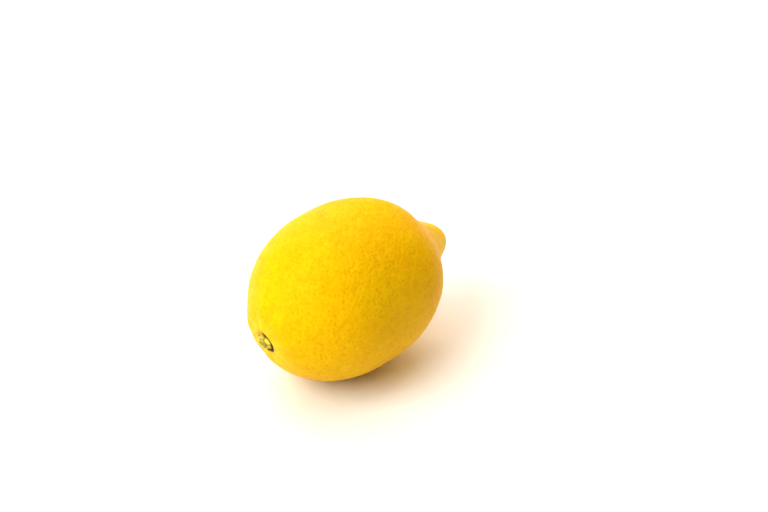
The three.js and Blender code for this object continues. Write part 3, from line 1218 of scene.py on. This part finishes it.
    def _stub(
        self, radius: np.ndarray, turn: np.ndarray, rng: np.random.Generator
    ) -> tuple[np.ndarray, np.ndarray, np.ndarray]:
        """Shapes the stub of the stalk, with its torn fibres round a hollow pith.

        Args:
            radius: Each point's distance from the middle.
            turn: The turns.
            rng: Where the fibres come from.

        Returns:
            The height of each point, how far inside the stub it is, and how near to the stub's foot.
        """
        uneven = self._ripple(turn, rng, self.stub_waves)[None, :]
        edge = self.stub_radius * (1 + self.stub_unevenness * uneven)
        inside = 1 - smooth_step(radius, edge + self.stub_slope[0], edge + self.stub_slope[1])
        foot = bell(radius - edge - self.foot_offset, self.foot_width)
        waves = self._ripple(turn, rng, self.fibre_waves)[None, :]
        fibres = waves * smooth_step(radius, self.fibre_start, self.stub_radius)
        hollow = self.pith_hollow * bell(radius, self.pith_hollow_width)
        dish = self.dish * (1 - smooth_step(radius, *self.dish_from))
        return self.stub_top + self.fibre * fibres - hollow - dish, inside, foot

    def _ripple(self, turn: np.ndarray, rng: np.random.Generator, counts: range) -> np.ndarray:
        """Makes waves round the calyx, from about -1 to 1.

        Args:
            turn: The turns.
            rng: Where their sizes and places come from.
            counts: How many waves go round, for each that is summed.

        Returns:
            The height at each turn.
        """
        total = np.zeros_like(turn)
        for count in counts:
            total += rng.normal() * np.cos(count * turn + rng.uniform(0, 2 * np.pi))
        return total / math.sqrt(len(counts))

    def _mesh(
        self,
        radius: np.ndarray,
        top: np.ndarray,
        rim: np.ndarray,
        turn: np.ndarray,
        marks: dict[Mark, np.ndarray],
    ) -> bpy.types.Mesh:
        """Closes the upper side with a rounded edge and a flat underside.

        Args:
            radius: Each upper point's distance from the middle.
            top: Each upper point's height.
            rim: The rim's distance at each turn.
            turn: The turns.
            marks: The numbers for the finish, one for each upper point.

        Returns:
            The closed mesh, in its place on the seat.
        """
        flat = np.zeros_like(rim)
        rings = [(rim + self.bulge, top[-1] * share) for share in self.side_heights]
        rings += [(rim, flat)] + [(rim * share, flat) for share in self.under_rings]
        radii = np.vstack([radius] + [reach for reach, _ in rings])
        heights = np.vstack([top] + [height for _, height in rings])
        around = np.stack([radii * np.cos(turn), radii * np.sin(turn), heights], axis=-1).reshape(-1, 3)
        local = np.vstack([[[0.0, 0.0, float(top[0].mean())]], around, [[0.0, 0.0, 0.0]]])
        side = self.seat.axis.cross(UP).normalized()
        over = side.cross(self.seat.axis)
        axes = np.array([tuple(side), tuple(over), tuple(self.seat.axis)])
        points = local @ axes + np.array(tuple(self.seat.middle))
        mesh = bpy.data.meshes.new("calyx_and_stub")
        mesh.from_pydata(points.tolist(), [], self._faces(radii.shape[0]))
        mesh.validate()
        for mark, values in marks.items():
            last = np.repeat(values[-1][None, :], len(rings), axis=0)
            full = np.concatenate([[values[0].mean()], values.ravel(), last.ravel(), [0.0]])
            attribute = mesh.attributes.new(mark.value, "FLOAT", "POINT")
            attribute.data.foreach_set("value", full.astype(np.float32))
        work = bmesh_from(mesh)
        bmesh.ops.recalc_face_normals(work, faces=work.faces)
        work.to_mesh(mesh)
        work.free()
        mesh.shade_smooth()
        return mesh

    def _faces(self, rows: int) -> list[tuple[int, ...]]:
        """Joins rings that are closed at both ends by a point.

        Args:
            rows: How many rings there are.

        Returns:
            The faces.
        """
        count = self.segments
        last = 1 + rows * count
        faces: list[tuple[int, ...]] = []
        for step in range(count):
            after = (step + 1) % count
            faces.append((0, 1 + step, 1 + after))
            for row in range(rows - 1):
                start = 1 + row * count
                below = start + count
                faces.append((start + step, below + step, below + after, start + after))
            faces.append((last - count + step, last, last - count + after))
        return faces


# The studio


@dataclass(frozen=True)
class SoftBox:
    """A large soft lamp, placed by the way it lies from the fruit."""

    name: str
    bearing: float
    height: float
    distance: float
    size: float
    power: float
    colour: Colour
    glossy: bool = True

    def place(self, target: Vector) -> bpy.types.Object:
        """Adds the lamp.

        Args:
            target: What it faces.

        Returns:
            The lamp.
        """
        lamp = bpy.data.lights.new(self.name, "AREA")
        lamp.shape = "DISK"
        lamp.size = self.size
        lamp.energy = self.power
        lamp.color = self.colour
        turn, lift = math.radians(self.bearing), math.radians(self.height)
        level = math.cos(lift)
        way = Vector((level * math.cos(turn), level * math.sin(turn), math.sin(lift)))
        held = bpy.data.objects.new(self.name, lamp)
        held.location = target + way * self.distance
        held.rotation_euler = (-way).to_track_quat("-Z", "Y").to_euler()
        held.visible_camera = False
        held.visible_glossy = self.glossy
        bpy.context.scene.collection.objects.link(held)
        return held


@dataclass(frozen=True)
class Viewpoint:
    """Where the camera stands and what its lens is."""

    bearing: float = 46.9
    drop: float = 31.5
    distance: float = 0.491
    aim_right: float = 0.0107
    aim_up: float = 0.0096
    lens: float = 60.0
    sensor: float = 36.0
    nearest: float = 0.01

    def place(self, target: Vector) -> bpy.types.Object:
        """Adds the camera.

        Args:
            target: The fruit's middle, which the lens points a little right of and over.

        Returns:
            The camera.
        """
        turn, drop = math.radians(self.bearing), math.radians(self.drop)
        level = math.cos(drop)
        forward = Vector((math.sin(turn) * level, math.cos(turn) * level, -math.sin(drop)))
        right = Vector((math.cos(turn), -math.sin(turn), 0.0))
        up = right.cross(forward)
        camera = bpy.data.objects.new("camera", bpy.data.cameras.new("camera"))
        camera.data.lens = self.lens
        camera.data.sensor_width = self.sensor
        camera.data.clip_start = self.nearest
        camera.location = target - forward * self.distance + right * self.aim_right + up * self.aim_up
        camera.rotation_euler = (math.pi / 2 - drop, 0.0, -turn)
        bpy.context.scene.collection.objects.link(camera)
        bpy.context.scene.camera = camera
        return camera


@dataclass
class Studio:
    """The floor, the lamps, the room's light and the camera."""

    effects: Effects
    target: Vector
    floor_size: float = 6.0
    room_colour: Colour = (1.0, 0.68, 0.4)
    room_strength: float = 0.25
    backdrop: Colour = (0.86, 0.83, 0.8)
    view: Viewpoint = field(default_factory=Viewpoint)
    lamps: tuple[SoftBox, ...] = (
        SoftBox("key", 170.0, 40.0, 0.9, 0.8, 9.7, (0.96, 1.0, 0.96)),
        SoftBox("top", 60.0, 72.0, 1.6, 2.0, 18.0, (1.0, 1.0, 1.0)),
        SoftBox("back", 66.0, 20.0, 1.2, 1.1, 8.5, (1.0, 1.0, 0.96), glossy=False),
        SoftBox("fill", 8.0, 20.0, 0.9, 0.7, 4.3, (1.0, 0.74, 0.42), glossy=False),
    )

    def build(self) -> bpy.types.Object:
        """Sets the scene up.

        Returns:
            The floor.
        """
        self.view.place(self.target)
        for lamp in self.lamps:
            lamp.place(self.target)
        self._room()
        bpy.context.scene.view_settings.view_transform = "Standard"
        bpy.context.scene.view_settings.look = "None"
        return self._floor()

    def _floor(self) -> bpy.types.Object:
        """Lays the floor at the height that the fruit rests on.

        Returns:
            The floor.
        """
        half = self.floor_size / 2
        mesh = bpy.data.meshes.new("floor")
        corners = [(-half, -half, 0.0), (half, -half, 0.0), (half, half, 0.0), (-half, half, 0.0)]
        mesh.from_pydata(corners, [], [(0, 1, 2, 3)])
        mesh.materials.append(FloorFinish().material(self.effects))
        floor = add_object("floor", mesh)
        return floor

    def _room(self) -> None:
        """Fills the room with soft warm light, and gives the camera a plain pale backdrop."""
        world = bpy.data.worlds.new("room")
        world.use_nodes = True
        bpy.context.scene.world = world
        room = TreeBuilder(world.node_tree)
        room.tree.nodes.clear()
        soft = {"Color": self.room_colour, "Strength": self.room_strength}
        light = room.output(room.node("ShaderNodeBackground", soft))
        seen = room.output(room.node("ShaderNodeBackground", {"Color": self.backdrop, "Strength": 1.0}))
        by_camera = room.output(room.node("ShaderNodeLightPath"), "Is Camera Ray")
        mixed = room.node("ShaderNodeMixShader", {0: by_camera, 1: light, 2: seen})
        room.node("ShaderNodeOutputWorld", {"Surface": room.output(mixed)})


def report(piece: bpy.types.Object) -> None:
    """Logs a finished piece's name, faces and size."""
    size = " x ".join(f"{side / MM:.1f}" for side in piece.dimensions)
    LOG.info("%s: %d faces, %s mm", piece.name, len(piece.data.polygons), size)


def main() -> None:
    """Builds the lemon and the studio round it."""
    logging.basicConfig(level=logging.INFO, format="%(name)s: %(message)s")
    effects = Effects(mottle_group(), fleck_group())
    seat = calyx_seat()
    low, high = (Vector(corner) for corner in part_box(Node.FRUIT.value))
    report(Fruit(effects, seat, nipple_tip()).build())
    report(Calyx(effects, seat).build())
    report(Studio(effects, (low + high) / 2).build())


if __name__ == "__main__":
    main()
